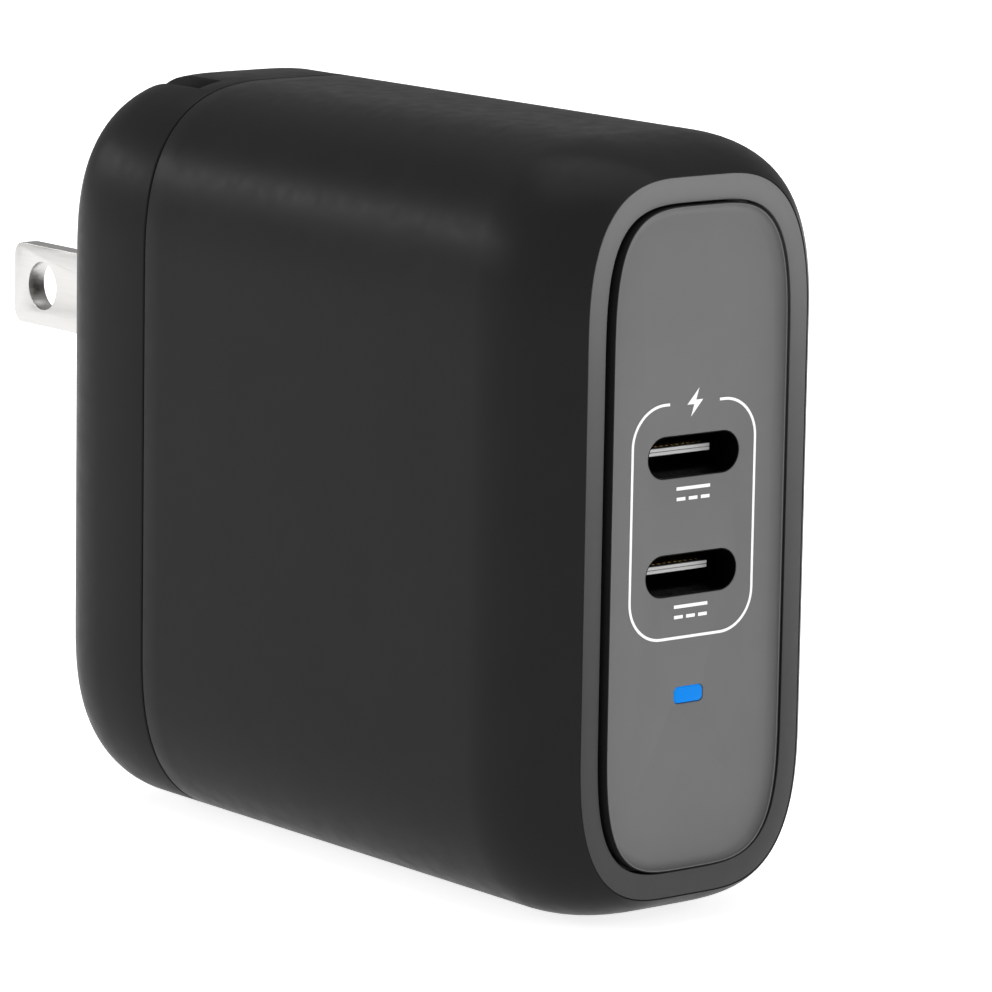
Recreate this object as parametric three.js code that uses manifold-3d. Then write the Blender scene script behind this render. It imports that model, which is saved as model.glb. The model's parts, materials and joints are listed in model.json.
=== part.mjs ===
// A two-port USB-C wall charger with folding prongs, in millimetres, +Z up.
// The wall face is the plane Y = 0 with the prongs towards +Y, and the ports face -Y.
// The origin is the centre of the wall face.

import * as THREE from "three";
import { mergeVertices } from "three/addons/utils/BufferGeometryUtils.js";
import Module from "manifold-3d";

const wasm = await Module();
wasm.setup();

// ---------------------------------------------------------------- driving dimensions

const WIDTH = 27.7;
const HEIGHT = 56.3;
const DEPTH = 59.5;

// The cross-section is a rectangle with large superellipse corners.
const CORNER = { width: 12, height: 14, power: 2.75 };
const CORNER_STEPS = 8;
const WALL = 2.0;
// The side wall curves in towards the front, and a small rounding ends the rear.
const CURVE = { width: 3.7, height: 2.25, depth: 8.2 };
const DOME = { depth: 5.8, width: 2.4, height: 3.8 };
const ROUND_STEPS = 6;
const GAP = 0.3;
const FIT = 0.1;

// Planes along the depth.
const PANEL_Y = -DEPTH;
const FACE_Y = PANEL_Y + 0.35;
const FLOOR_Y = PANEL_Y + 0.65;
const CAVITY_Y = -53;
const SEAM_Y = -11.3;
const BAY_Y = -9.6;

// Front opening and the panel in it.
const MOUTH_INSET = 0.05;
const OPENING = { width: 8.5, height: 24, corner: { width: 8, height: 11.8, power: 3.6 } };
const PANEL_MARGIN = { width: 0.5, height: 0.15 };
const PANEL_THICK = 1.25;
const PANEL_RIM = 0.15;
const PANEL_COVE = 0.8;
const LEDGE = 1.5;

// Ports, stacked on the centre line.
const PORT_Z = { upper: 5.95, lower: -2.54 };
const PORT_MOUTH = { width: 8.4, height: 3.0 };
const PORT_SHELL = { width: 8.94, height: 3.16, wall: 0.3 };
const TONGUE = { width: 6.7, thick: 0.6, recess: 2.2 };
const LENS = { width: 2.6, height: 1.15, z: -11.28 };

// Prongs: flat blades that turn up about a pin along X.
const BLADE = { thick: 1.5, width: 6.35, reach: 15.9, spacing: 12.7, hole: 1.9, holeFromTip: 3.9 };
const PIVOT = { y: -2.8, z: 8.8 };
const BLADE_RISE = 1.0;
const CARRIER_RADIUS = 2.1;
const CARRIER_HALF = 9.5;
const CORE_HALF = 1.0;
const PIN_RADIUS = 0.55;
const PIN_HALF = 10.6;
const SWEEP_RADIUS = 5.0;
const SLOT_HALF = 1.05;
const SCOOP = { y: -9.3, z: 24.5 };
const CONTACT_Z = 1.6;

// Circuit boards.
const BOARD = { x: -9.5, thick: 1.4, front: -50.5, rear: -17, half: 19 };
const BOARD_TOP = BOARD.x + BOARD.thick / 2 + FIT;
const PORT_BOARD = { y: -49.6, thick: 1.2 };

// ---------------------------------------------------------------- materials

const COLOURS = {
  matte_black_housing: [0x2f2f2f, 0.55, 0],
  satin_grey_bezel: [0x6a6a6c, 0.45, 0],
  grey_panel: [0x777777, 0.5, 0],
  status_lens_blue: [0x0891f9, 0.3, 0],
  nickel: [0xc9c9c6, 0.3, 1],
  black_nylon: [0x1c1c1e, 0.6, 0],
  spring_bronze: [0xb98b4e, 0.35, 1],
  adhesive: [0x151515, 0.9, 0],
  lead_red: [0xa02018, 0.5, 0],
  lead_white: [0xd8d8d4, 0.5, 0],
  board_green: [0x1d5b37, 0.5, 0],
  black_shell: [0x2c2c2e, 0.4, 1],
  port_insert: [0x8d8f92, 0.5, 0],
  led_body: [0xe8e2b0, 0.3, 0],
  ferrite: [0x35363a, 0.6, 0],
  copper_wire: [0xb5652b, 0.35, 1],
  yellow_tape: [0xd8b62c, 0.5, 0],
  capacitor_sleeve: [0x2b2a40, 0.4, 0],
  capacitor_blue: [0x2a5db0, 0.5, 0],
  film_capacitor_yellow: [0xc9a43a, 0.5, 0],
  epoxy_black: [0x19191b, 0.5, 0],
  fuse_ceramic: [0xd9d4c4, 0.5, 0],
  aluminium: [0xb9bcc0, 0.4, 1],
  thermal_pad: [0x8fa0b0, 0.9, 0],
  insulation_film: [0x202024, 0.4, 0],
};

const assembly = new THREE.Group();

function part(name, material, geometry, group = assembly) {
  const [color, roughness, metalness] = COLOURS[material];
  const look = new THREE.MeshStandardMaterial({ color, roughness, metalness, flatShading: true });
  look.name = material;
  const mesh = new THREE.Mesh(geometry, look);
  mesh.name = name;
  group.add(mesh);
  return mesh;
}

// ---------------------------------------------------------------- solids

function merged(geometry) {
  const bare = geometry.clone();
  bare.deleteAttribute("normal");
  bare.deleteAttribute("uv");
  return mergeVertices(bare, 1e-4);
}

function solid(geometry) {
  const bare = merged(geometry);
  const mesh = new wasm.Mesh({
    numProp: 3,
    vertProperties: new Float32Array(bare.attributes.position.array),
    triVerts: new Uint32Array(bare.index.array),
  });
  return new wasm.Manifold(mesh);
}

function geometryOf(manifold) {
  const mesh = manifold.getMesh();
  const geometry = new THREE.BufferGeometry();
  const vertices = new Float32Array(mesh.vertProperties);
  geometry.setAttribute("position", new THREE.BufferAttribute(vertices, 3));
  geometry.setIndex(new THREE.BufferAttribute(new Uint32Array(mesh.triVerts), 1));
  geometry.computeVertexNormals();
  return geometry;
}

function joined(...geometries) {
  return geometries.map(solid).reduce((sum, next) => sum.add(next));
}

function cut(body, ...tools) {
  return tools.map(solid).reduce((rest, tool) => rest.subtract(tool), body);
}

// A closed outline in the X-Z plane with superellipse corners.
function outline(halfWidth, halfHeight, corner, steps = CORNER_STEPS) {
  const quarter = [];
  for (let i = 0; i <= steps; i++) {
    const t = (i / steps) * (Math.PI / 2);
    const across = Math.pow(Math.max(Math.cos(t), 0), 2 / corner.power);
    const up = Math.pow(Math.sin(t), 2 / corner.power);
    quarter.push([
      halfWidth - corner.width + corner.width * across,
      halfHeight - corner.height + corner.height * up,
    ]);
  }
  const back = quarter.slice().reverse();
  const points = [
    ...quarter,
    ...back.map(([x, z]) => [-x, z]),
    ...quarter.map(([x, z]) => [-x, -z]),
    ...back.map(([x, z]) => [x, -z]),
  ];
  return points.map(([x, z]) => new THREE.Vector2(x, z));
}

function bodyOutline(insetWidth, insetHeight = insetWidth) {
  const corner = {
    width: CORNER.width - insetWidth,
    height: CORNER.height - insetHeight,
    power: CORNER.power,
  };
  return outline(WIDTH / 2 - insetWidth, HEIGHT / 2 - insetHeight, corner);
}

function openingOutline(insetWidth, insetHeight = insetWidth) {
  const { width, height, corner } = OPENING;
  const smaller = {
    width: corner.width - insetWidth,
    height: corner.height - insetHeight,
    power: corner.power,
  };
  return outline(width - insetWidth, height - insetHeight, smaller);
}

// A skin over rings of equal point count, closed by a fan at each end.
// Each ring is an outline at one depth, given from the front to the rear.
function loft(rings) {
  const count = rings[0].points.length;
  const position = [];
  const index = [];
  for (const { y, points } of rings) {
    for (const point of points) position.push(point.x, y, point.y);
  }
  for (let r = 0; r + 1 < rings.length; r++) {
    for (let i = 0; i < count; i++) {
      const a = r * count + i;
      const b = r * count + ((i + 1) % count);
      index.push(a, b, a + count, b, b + count, a + count);
    }
  }
  const last = (rings.length - 1) * count;
  for (let i = 1; i + 1 < count; i++) {
    index.push(0, i + 1, i);
    index.push(last, last + i, last + i + 1);
  }
  const geometry = new THREE.BufferGeometry();
  geometry.setAttribute("position", new THREE.BufferAttribute(new Float32Array(position), 3));
  geometry.setIndex(index);
  return flippedOut(geometry);
}

// Turns the faces outwards when the signed volume says they point in.
function flippedOut(geometry) {
  const bare = mergeVertices(geometry, 1e-4);
  const p = bare.attributes.position;
  const index = Array.from(bare.index.array);
  const corners = [new THREE.Vector3(), new THREE.Vector3(), new THREE.Vector3()];
  let volume = 0;
  for (let i = 0; i < index.length; i += 3) {
    corners.forEach((v, k) => v.fromBufferAttribute(p, index[i + k]));
    volume += corners[0].dot(corners[1].clone().cross(corners[2]));
  }
  if (volume < 0) {
    for (let i = 0; i < index.length; i += 3) {
      [index[i + 1], index[i + 2]] = [index[i + 2], index[i + 1]];
    }
  }
  bare.setIndex(index);
  return bare;
}

// A straight solid between two depths, from an outline in the X-Z plane.
function prism(points, front, rear, holes = []) {
  const shape = new THREE.Shape(points);
  shape.holes = holes.map((hole) => new THREE.Path(hole));
  const geometry = new THREE.ExtrudeGeometry(shape, { depth: rear - front, bevelEnabled: false });
  return merged(geometry.rotateX(Math.PI / 2).translate(0, rear, 0));
}

// A straight solid between two X planes, from an outline in the Y-Z plane.
function slab(points, left, right, holes = []) {
  const shape = new THREE.Shape(points);
  shape.holes = holes.map((hole) => new THREE.Path(hole));
  const geometry = new THREE.ExtrudeGeometry(shape, { depth: right - left, bevelEnabled: false });
  geometry.rotateY(Math.PI / 2).rotateX(Math.PI / 2);
  return merged(geometry.translate(left, 0, 0));
}

function box(x, y, z) {
  const geometry = new THREE.BoxGeometry(x[1] - x[0], y[1] - y[0], z[1] - z[0]);
  return geometry.translate((x[0] + x[1]) / 2, (y[0] + y[1]) / 2, (z[0] + z[1]) / 2);
}

// A cylinder along X or Y between two planes.
function rod(axis, radius, from, to, a, b, sides = 24) {
  const geometry = new THREE.CylinderGeometry(radius, radius, to - from, sides);
  geometry.translate(0, (from + to) / 2, 0);
  if (axis === "x") return geometry.rotateZ(-Math.PI / 2).translate(0, a, b);
  return geometry.translate(a, 0, b);
}

// A turned solid about an axis along X or Y, its profile given as [radius, distance along].
function turned(axis, profile, place, sides = 24) {
  const points = profile.map(([r, along]) => new THREE.Vector2(r, along));
  const geometry = new THREE.LatheGeometry(points, sides);
  if (axis === "x") geometry.rotateZ(-Math.PI / 2);
  return flippedOut(merged(geometry.translate(...place)));
}

function ringProfile(inner, outer, from, to) {
  return [[inner, from], [outer, from], [outer, to], [inner, to], [inner, from]];
}

function stadium(width, height, z, steps = 8) {
  const radius = height / 2;
  const reach = width / 2 - radius;
  const points = [];
  for (const side of [1, -1]) {
    for (let i = 0; i <= steps; i++) {
      const t = side * (-Math.PI / 2 + (i / steps) * Math.PI);
      points.push(new THREE.Vector2(side * (reach + radius * Math.cos(t)), z + radius * Math.sin(t)));
    }
  }
  return points;
}

// A rectangle with circular corners, about a centre.
function plate(halfA, halfB, radius, centre = [0, 0], steps = 4) {
  const points = [];
  const centres = [[1, 1], [-1, 1], [-1, -1], [1, -1]];
  centres.forEach(([a, b], quadrant) => {
    for (let i = 0; i <= steps; i++) {
      const t = (quadrant + i / steps) * (Math.PI / 2);
      points.push(new THREE.Vector2(
        centre[0] + a * (halfA - radius) + radius * Math.cos(t),
        centre[1] + b * (halfB - radius) + radius * Math.sin(t),
      ));
    }
  });
  return points;
}

function circle(radius, a, b, sides = 24) {
  const points = [];
  for (let i = 0; i < sides; i++) {
    const t = (i / sides) * Math.PI * 2;
    points.push(new THREE.Vector2(a + radius * Math.cos(t), b + radius * Math.sin(t)));
  }
  return points;
}

function arc(from, to, steps) {
  return Array.from({ length: steps + 1 }, (_, i) => from + ((to - from) * i) / steps);
}

// ---------------------------------------------------------------- casing

// The outline where the housing's curve ends, moved in by a margin.
function mouthOutline(margin) {
  return bodyOutline(CURVE.width + margin, CURVE.height + margin);
}

// The housing's curve as rings from the front plane back: an arc as deep as CURVE.depth.
function curveRings() {
  const end = 2 * Math.atan(CURVE.width / CURVE.depth);
  return arc(end, 0, ROUND_STEPS).map((t) => {
    const amount = (1 - Math.cos(t)) / (1 - Math.cos(end));
    return {
      y: FACE_Y + CURVE.depth * (1 - Math.sin(t) / Math.sin(end)),
      points: bodyOutline(CURVE.width * amount, CURVE.height * amount),
    };
  });
}

function housing() {
  const rear = SEAM_Y - GAP / 2;
  const outer = solid(loft([...curveRings(), { y: rear, points: bodyOutline(0) }]));
  const sleeve = cut(
    outer,
    prism(mouthOutline(MOUTH_INSET), FACE_Y - 1, CAVITY_Y + 1),
    prism(bodyOutline(WALL), CAVITY_Y, rear + 1),
  );
  const railX = [-WIDTH / 2 + 1, BOARD_TOP + 0.6];
  const railY = [BOARD.front + 1, BOARD.rear - 1];
  const rails = [1, -1].map((side) => {
    const z = [side * (BOARD.half + 0.2), side * (BOARD.half + 1.4)].sort((a, b) => a - b);
    return box(railX, railY, z);
  });
  return rails.map(solid).reduce((sum, rail) => sum.add(rail.intersect(outer)), sleeve);
}

function domeRings(inset, rearY, frontY) {
  const dome = arc(0, Math.PI / 2, ROUND_STEPS + 1).map((t) => ({
    y: rearY - DOME.depth * (1 - Math.sin(t)),
    points: bodyOutline(
      inset + (DOME.width - inset) * (1 - Math.cos(t)),
      inset + (DOME.height - inset) * (1 - Math.cos(t)),
    ),
  }));
  return [{ y: frontY, points: bodyOutline(inset) }, ...dome];
}

function rearCover() {
  const rim = SEAM_Y + GAP / 2;
  const outer = solid(loft(domeRings(0, 0, rim)));
  const hollow = loft(domeRings(WALL, -WALL, rim - 1));
  const bay = joined(
    box([-11.2, 11.2], [BAY_Y, -1], [3, 27]),
    box([-10, 10], [SEAM_Y + 0.8, -1], [21, 27]),
  ).intersect(outer);
  const lip = cut(
    joined(
      prism(bodyOutline(WALL + 0.15), SEAM_Y - 2.9, SEAM_Y + 1),
      prism(bodyOutline(WALL - 0.5), rim, SEAM_Y + 1.5),
    ),
    prism(bodyOutline(WALL + 1.15), SEAM_Y - 4, SEAM_Y + 3),
  );
  const tools = [
    rod("x", CARRIER_RADIUS + 0.2, -CARRIER_HALF - 0.2, CARRIER_HALF + 0.2, PIVOT.y, PIVOT.z),
    box(
      [-CARRIER_HALF - 0.2, CARRIER_HALF + 0.2],
      [PIVOT.y, 1],
      [PIVOT.z - CARRIER_RADIUS - 0.2, PIVOT.z + CARRIER_RADIUS + 0.2],
    ),
    box([-PIN_HALF - 0.2, PIN_HALF + 0.2], [BAY_Y - 1, PIVOT.y], [PIVOT.z - 0.63, PIVOT.z + 0.63]),
    rod("x", 0.64, -PIN_HALF - 0.2, PIN_HALF + 0.2, PIVOT.y, PIVOT.z),
    box([-2.4, 2.4], [BAY_Y - 1, -4], [PIVOT.z - 4.2, PIVOT.z + 1.2]),
  ];
  for (const side of [-1, 1]) {
    const x = (side * BLADE.spacing) / 2;
    const span = [x - SLOT_HALF, x + SLOT_HALF];
    const folded = PIVOT.y - BLADE_RISE - BLADE.width / 2 - GAP;
    const sweep = solid(rod("x", SWEEP_RADIUS, ...span, PIVOT.y, PIVOT.z, 32));
    const inner = solid(box([x - 2, x + 2], [PIVOT.y - 6, PIVOT.y + 1.2], [PIVOT.z - 6, PIVOT.z + 6]));
    tools.push(geometryOf(sweep.intersect(inner)));
    tools.push(box(span, [folded, 1], [PIVOT.z - 2.65, HEIGHT]));
    tools.push(box(span, [SCOOP.y, 1], [SCOOP.z, HEIGHT]));
    tools.push(box([x - 1.3, x + 1.3], [BAY_Y - 1, -7], [PIVOT.z - 1.9, PIVOT.z + 1.6]));
  }
  return cut(cut(outer, hollow).add(bay).add(lip), ...tools);
}

function bezel() {
  const face = cut(
    solid(prism(mouthOutline(MOUTH_INSET + FIT), FACE_Y, FACE_Y + 2.2)),
    prism(openingOutline(0), FACE_Y - 1, FACE_Y + 1.3),
    prism(openingOutline(LEDGE), FACE_Y, FACE_Y + 3),
  );
  const skirt = cut(
    solid(prism(mouthOutline(MOUTH_INSET + FIT), FACE_Y + 2, FACE_Y + 5.5)),
    prism(mouthOutline(MOUTH_INSET + 1.1), FACE_Y + 1, FACE_Y + 7),
  );
  return face.add(skirt);
}

// The panel is a shallow dish: a raised rim and a cove down to a flat floor.
function frontPanel() {
  const ring = (inset) => openingOutline(PANEL_MARGIN.width + inset, PANEL_MARGIN.height + inset);
  const cove = arc(Math.PI / 2, 0, 3).map((t) => ({
    y: PANEL_Y + (FLOOR_Y - PANEL_Y) * Math.sin(t),
    points: ring(PANEL_RIM + PANEL_COVE * (1 - Math.cos(t))),
  }));
  const side = [PANEL_Y, PANEL_Y + PANEL_THICK].map((y) => ({ y, points: ring(0) }));
  const mouths = Object.values(PORT_Z).map((z) =>
    prism(stadium(PORT_MOUTH.width, PORT_MOUTH.height, z), PANEL_Y - 1, PANEL_Y + 3),
  );
  const lensHole = plate(LENS.width / 2 + FIT, LENS.height / 2 + FIT, 0.4, [0, LENS.z]);
  return cut(solid(loft([...cove, ...side])), ...mouths, prism(lensHole, PANEL_Y - 1, PANEL_Y + 3));
}

part("main_housing", "matte_black_housing", geometryOf(housing()));
part("rear_cover", "matte_black_housing", geometryOf(rearCover()));
part("front_bezel", "satin_grey_bezel", geometryOf(bezel()));
part("front_panel", "grey_panel", geometryOf(frontPanel()));
part(
  "panel_adhesive_frame",
  "adhesive",
  prism(
    openingOutline(PANEL_MARGIN.width + 0.3),
    PANEL_Y + PANEL_THICK + 0.05,
    FACE_Y + 1.25,
    [openingOutline(LEDGE + 0.4)],
  ),
);
part(
  "status_lens",
  "status_lens_blue",
  prism(plate(LENS.width / 2, LENS.height / 2, 0.35, [0, LENS.z]), FLOOR_Y - 0.05, -51.7),
);

// ---------------------------------------------------------------- ports

for (const [level, z] of Object.entries(PORT_Z)) {
  const { width, height, wall } = PORT_SHELL;
  const front = PANEL_Y + PANEL_THICK + 0.05;
  const rear = PORT_BOARD.y - PORT_BOARD.thick / 2 - FIT;
  const inner = stadium(width - 2 * wall, height - 2 * wall, z);
  part(`usb_c_shell_${level}`, "black_shell", prism(stadium(width, height, z), front, rear, [inner]));
  const base = prism(stadium(width - 2 * wall - 0.1, height - 2 * wall - 0.1, z), rear - 2.3, rear);
  const tongue = box(
    [-TONGUE.width / 2, TONGUE.width / 2],
    [FLOOR_Y + TONGUE.recess, rear - 2],
    [z - TONGUE.thick / 2, z + TONGUE.thick / 2],
  );
  part(`usb_c_insert_${level}`, "port_insert", geometryOf(joined(base, tongue)));
}

// ---------------------------------------------------------------- prongs and their pivot

// Blade outline about the pivot, as [Y, Z], unfolded.
function bladeOutline() {
  const tip = BLADE.reach - PIVOT.y;
  const low = BLADE_RISE - BLADE.width / 2;
  const high = BLADE_RISE + BLADE.width / 2;
  const corner = 1.1;
  const points = [[-0.2, high], [-2, 2.4], [-2, 1], [-4.6, 0.8], [-4.6, -0.8], [-2, -1], [-1.6, low]];
  for (const t of arc(-Math.PI / 2, 0, 4)) {
    points.push([tip - corner + corner * Math.cos(t), low + corner + corner * Math.sin(t)]);
  }
  for (const t of arc(0, Math.PI / 2, 4)) {
    points.push([tip - corner + corner * Math.cos(t), high - corner + corner * Math.sin(t)]);
  }
  return points.map(([y, z]) => new THREE.Vector2(y + PIVOT.y, z + PIVOT.z));
}

const coreHole = plate(CORE_HALF + FIT, CORE_HALF + FIT, 0.2, [PIVOT.y, PIVOT.z], 2);
const tipHole = circle(
  BLADE.hole,
  BLADE.reach - BLADE.holeFromTip,
  PIVOT.z + BLADE_RISE,
);
for (const [side, sign] of [["left", -1], ["right", 1]]) {
  const x = (sign * BLADE.spacing) / 2;
  const span = [x - BLADE.thick / 2, x + BLADE.thick / 2];
  part(`prong_${side}`, "nickel", slab(bladeOutline(), ...span, [coreHole, tipHole]));
}

function carrier() {
  let body = solid(rod("x", CARRIER_RADIUS, -CARRIER_HALF, CARRIER_HALF, PIVOT.y, PIVOT.z));
  for (const sign of [-1, 1]) {
    const x = (sign * BLADE.spacing) / 2;
    const span = [x - BLADE.thick / 2 - FIT, x + BLADE.thick / 2 + FIT];
    const around = cut(
      solid(box(span, [PIVOT.y - 3, PIVOT.y + 3], [PIVOT.z - 3, PIVOT.z + 3])),
      slab(plate(CORE_HALF, CORE_HALF, 0.2, [PIVOT.y, PIVOT.z], 2), span[0] - 1, span[1] + 1),
    );
    body = body.subtract(around);
  }
  for (const [dy, dz] of [[-1, 0], [0, -1]]) {
    const notch = rod("x", 0.7, -1.4, 1.4, PIVOT.y + dy * 2.4, PIVOT.z + dz * 2.4, 12);
    body = cut(body, notch);
  }
  return cut(body, rod("x", PIN_RADIUS + 0.06, -11, 11, PIVOT.y, PIVOT.z));
}

part("prong_carrier", "black_nylon", geometryOf(carrier()));
part("pivot_pin", "nickel", merged(rod("x", PIN_RADIUS, -PIN_HALF, PIN_HALF, PIVOT.y, PIVOT.z)));

// A bent strip: its middle line is a list of [Y, Z], and it is as wide as its X span.
function strip(line, thick, left, right) {
  const upper = [];
  const lower = [];
  line.forEach(([y, z], i) => {
    const [y0, z0] = line[Math.max(i - 1, 0)];
    const [y1, z1] = line[Math.min(i + 1, line.length - 1)];
    const length = Math.hypot(y1 - y0, z1 - z0);
    const normal = [-(z1 - z0) / length, (y1 - y0) / length];
    upper.push(new THREE.Vector2(y + (normal[0] * thick) / 2, z + (normal[1] * thick) / 2));
    lower.unshift(new THREE.Vector2(y - (normal[0] * thick) / 2, z - (normal[1] * thick) / 2));
  });
  return slab([...upper, ...lower], left, right);
}

const CONTACT_LINE = [
  [-8.1, 9.9], [-7.75, 9.2], [-7.75, 8.5], [-8.3, 8.0], [-10.0, 7.8], [-11.2, 7.2], [-11.7, 6.2],
  [-11.7, CONTACT_Z],
];
for (const [side, sign] of [["left", -1], ["right", 1]]) {
  const x = (sign * BLADE.spacing) / 2;
  part(`contact_spring_${side}`, "spring_bronze", strip(CONTACT_LINE, 0.35, x - 0.95, x + 0.95));
}
const DETENT_LINE = [
  [-5.7, 9.7], [-5.25, 9.2], [-5.15, 8.8], [-5.25, 8.4], [-5.7, 7.9], [-6.1, 7.0], [-6.3, 5.6],
  [-7.6, 5.2], [-9.4, 5.2],
];
part("detent_spring", "spring_bronze", strip(DETENT_LINE, 0.3, -1.1, 1.1));

function retainer() {
  const body = solid(box([-10.4, 10.4], [BAY_Y - 1.5, BAY_Y - 0.2], [4.2, 13.4]));
  const windows = [-1, 1].map((sign) => {
    const x = (sign * BLADE.spacing) / 2;
    return box([x - 1.3, x + 1.3], [BAY_Y - 3, BAY_Y + 1], [3, PIVOT.z + 1.6]);
  });
  return cut(body, ...windows);
}

part("pivot_retainer", "black_nylon", geometryOf(retainer()));
part(
  "contact_holder",
  "black_nylon",
  geometryOf(cut(
    solid(box([-9.4, 9.4], [-13.4, -12], [-1.2, 6])),
    box([-3, 3], [-14, -11], [3, 7]),
  )),
);

function lead(points, radius = 0.65) {
  const path = new THREE.CatmullRomCurve3(points.map((p) => new THREE.Vector3(...p)));
  const shape = new THREE.Shape(circle(radius, 0, 0, 8));
  return merged(new THREE.ExtrudeGeometry(shape, { extrudePath: path, steps: 16 }));
}

const LIVE_PATH = [[-6.3, -13.8, 2.6], [-6.3, -15.4, 2.8], [-6.9, -17.2, 4.4], [-8.0, -19.0, 5.2]];
const NEUTRAL_PATH = [[6.3, -13.8, 2.6], [4.6, -15.8, 3.2], [-2.4, -16.2, 5.2], [-6.4, -17.0, 6.6]];
part("lead_live", "lead_red", lead(LIVE_PATH));
part("lead_neutral", "lead_white", lead(NEUTRAL_PATH));

// ---------------------------------------------------------------- boards and electronics

part(
  "main_pcb",
  "board_green",
  slab(
    plate((BOARD.rear - BOARD.front) / 2, BOARD.half, 1, [(BOARD.rear + BOARD.front) / 2, 0]),
    BOARD.x - BOARD.thick / 2,
    BOARD.x + BOARD.thick / 2,
    [plate(0.6, 6, 0.5, [-44.9, -12]), plate(4, 0.6, 0.5, [-40, 5.2])],
  ),
);
part(
  "port_pcb",
  "board_green",
  prism(
    plate(8.8, 17, 1.5, [0.6, -2]),
    PORT_BOARD.y - PORT_BOARD.thick / 2,
    PORT_BOARD.y + PORT_BOARD.thick / 2,
  ),
);
const behindPorts = PORT_BOARD.y + PORT_BOARD.thick / 2 + FIT;
const beforePorts = PORT_BOARD.y - PORT_BOARD.thick / 2 - FIT;

function block(x, y, z, radius = 0.3) {
  const middle = [(x[0] + x[1]) / 2, (z[0] + z[1]) / 2];
  return prism(plate((x[1] - x[0]) / 2, (z[1] - z[0]) / 2, radius, middle, 2), ...y);
}

const lampDepth = [beforePorts - 0.9, beforePorts];
part("status_led", "led_body", block([-0.9, 0.9], lampDepth, [LENS.z - 0.5, LENS.z + 0.5]));
part("port_controller", "epoxy_black", block([-2, 2], [behindPorts, behindPorts + 0.9], [-0.3, 3.7]));
part("output_inductor", "ferrite", block([-0.5, 5.5], [behindPorts, behindPorts + 3], [-15, -9], 1));
part("link_header", "black_nylon", block([BOARD_TOP, -6.2], [behindPorts, behindPorts + 2.4], [-7.5, -3.5]));

// Transformer: two E cores meeting on a wound bobbin, its axis along Y.
const CORE = {
  x: -2.3, y: -36.5, z: -7, leg: 3, back: 2, half: 8, width: 8.5, thick: 4.5, window: 6.2,
};

function coreHalf(sign) {
  const y = (near, far) => {
    const ends = [CORE.y + sign * near, CORE.y + sign * far];
    return ends.sort((a, b) => a - b);
  };
  const x = [CORE.x - CORE.thick, CORE.x + CORE.thick];
  const pieces = [
    box(x, y(CORE.half - CORE.back, CORE.half), [CORE.z - CORE.width, CORE.z + CORE.width]),
    box(x, y(0.15, CORE.half - 1), [CORE.z - CORE.width, CORE.z - CORE.window]),
    box(x, y(0.15, CORE.half - 1), [CORE.z + CORE.window, CORE.z + CORE.width]),
    rod("y", CORE.leg, ...y(0.15, CORE.half - 1), CORE.x, CORE.z),
  ];
  return geometryOf(joined(...pieces));
}

const corePlace = [CORE.x, CORE.y, CORE.z];
part("transformer_core_front", "ferrite", coreHalf(-1));
part("transformer_core_rear", "ferrite", coreHalf(1));
part(
  "transformer_bobbin",
  "black_nylon",
  turned("y", [
    [3.2, -5.8], [6, -5.8], [6, -5.2], [3.7, -5.2], [3.7, 5.2],
    [6, 5.2], [6, 5.8], [3.2, 5.8], [3.2, -5.8],
  ], corePlace),
);
part("transformer_winding", "copper_wire", turned("y", ringProfile(3.8, 5.2, -5, 5), corePlace));
part("transformer_tape", "yellow_tape", turned("y", ringProfile(5.3, 5.7, -4.9, 4.9), corePlace));

// An electrolytic can with a rolled neck, its axis along Y.
function can(radius, length, place) {
  const half = length / 2;
  return turned("y", [
    [0, -half], [radius - 0.5, -half], [radius, -half + 0.5], [radius, half - 2.4],
    [radius - 0.4, half - 2], [radius - 0.4, half - 1.6], [radius, half - 1.2],
    [radius, half - 0.4], [radius - 0.4, half], [0, half],
  ], place);
}

part("bulk_capacitor_inner", "capacitor_sleeve", can(4, 16, [-4.4, -26, 11]));
part("bulk_capacitor_outer", "capacitor_sleeve", can(4, 16, [4.3, -26, 11]));
part("output_capacitor_inner", "capacitor_sleeve", can(3.2, 10, [-5.3, -41.8, 9.6]));
part("output_capacitor_outer", "capacitor_sleeve", can(3.2, 10, [1.6, -41.8, 9.6]));

part("x_capacitor", "film_capacitor_yellow", block([BOARD_TOP, 1.4], [-23, -17.8], [-8.4, 3.4], 0.8));
part(
  "y_capacitor",
  "capacitor_blue",
  turned("y", [[0, -1], [2.4, -1], [3, -0.4], [3, 0.4], [2.4, 1], [0, 1]], [-5.4, -46.6, -11.4]),
);
part("bridge_rectifier", "epoxy_black", block([BOARD_TOP, -5.9], [-27.8, -23.8], [-6, 0]));
part("switching_transistor", "epoxy_black", block([BOARD_TOP, -6.2], [-34, -27.6], [2.2, 6.4]));
part("primary_controller", "epoxy_black", block([BOARD_TOP, -7.2], [-42, -37.2], [1.8, 4.4]));
part("optocoupler", "epoxy_black", block([BOARD_TOP, -6.4], [-48.7, -45.7], [-2.6, 1.8]));
part("fuse", "fuse_ceramic", turned("y", [[0, -4], [1.6, -4], [1.6, 4], [0, 4]], [-6.9, -25, 17.1], 16));
const CHOKE_PLACE = [-4.2, -22.6, -13.2];
part(
  "input_choke_core",
  "ferrite",
  turned("x", [
    [0, -4.4], [4.2, -4.4], [4.2, -3.4], [2, -3.4], [2, 3.4], [4.2, 3.4], [4.2, 4.4], [0, 4.4],
  ], CHOKE_PLACE),
);
part("input_choke_winding", "copper_wire", turned("x", ringProfile(2.1, 3.8, -3.2, 3.2), CHOKE_PLACE));

function spreader() {
  const web = box([10, 10.7], [-48, -18], [-14, 17]);
  const foot = box([7.6, 10.7], [-48, -18], [17, 17.7]);
  return geometryOf(joined(web, foot, box([10, 10.7], [-48, -18], [16, 17.7])));
}

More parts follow.
